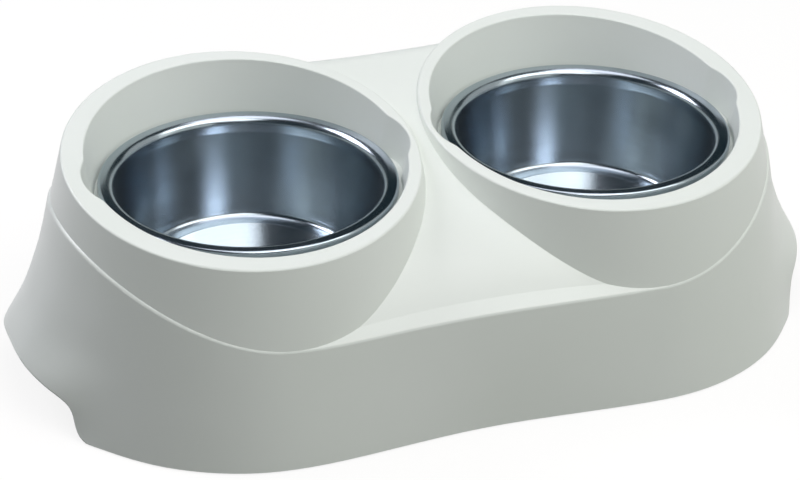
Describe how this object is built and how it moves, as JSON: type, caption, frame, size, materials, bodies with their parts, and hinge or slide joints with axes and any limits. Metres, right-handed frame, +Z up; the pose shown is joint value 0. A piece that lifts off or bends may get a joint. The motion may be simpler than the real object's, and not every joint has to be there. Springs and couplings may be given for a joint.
{
  "type": "double pet bowl",
  "caption": "Low moulded stand with twin round wells in tilted collars, flared end grips and lift-out steel bowls for pet food and water.",
  "frame": {"origin": "centre of the base on the floor plane, where the feet stand", "axes": "+X along the long side, to the right seen from the front; the low front of the collars faces -Y; +Z up"},
  "size_m": [0.4012, 0.2138, 0.1224],
  "materials": {
    "plastic": "semi-gloss, pale grey-white with a faint green tint",
    "steel": "satin, turned on the floor disc",
    "rubber": "matt grey"
  },
  "bodies": {
    "base": {"stand": "plastic", "foot_front_left": "rubber", "foot_front_right": "rubber", "foot_back_left": "rubber", "foot_back_right": "rubber"},
    "left_bowl": {"bowl_left": "steel"},
    "right_bowl": {"bowl_right": "steel"}
  },
  "joints": [
    {"name": "left_bowl_lift", "type": "slide", "parent": "base", "child": "left_bowl", "axis": [0, 0, 1], "range_m": [0, 0.09]},
    {"name": "right_bowl_lift", "type": "slide", "parent": "base", "child": "right_bowl", "axis": [0, 0, 1], "range_m": [0, 0.09]}
  ]
}
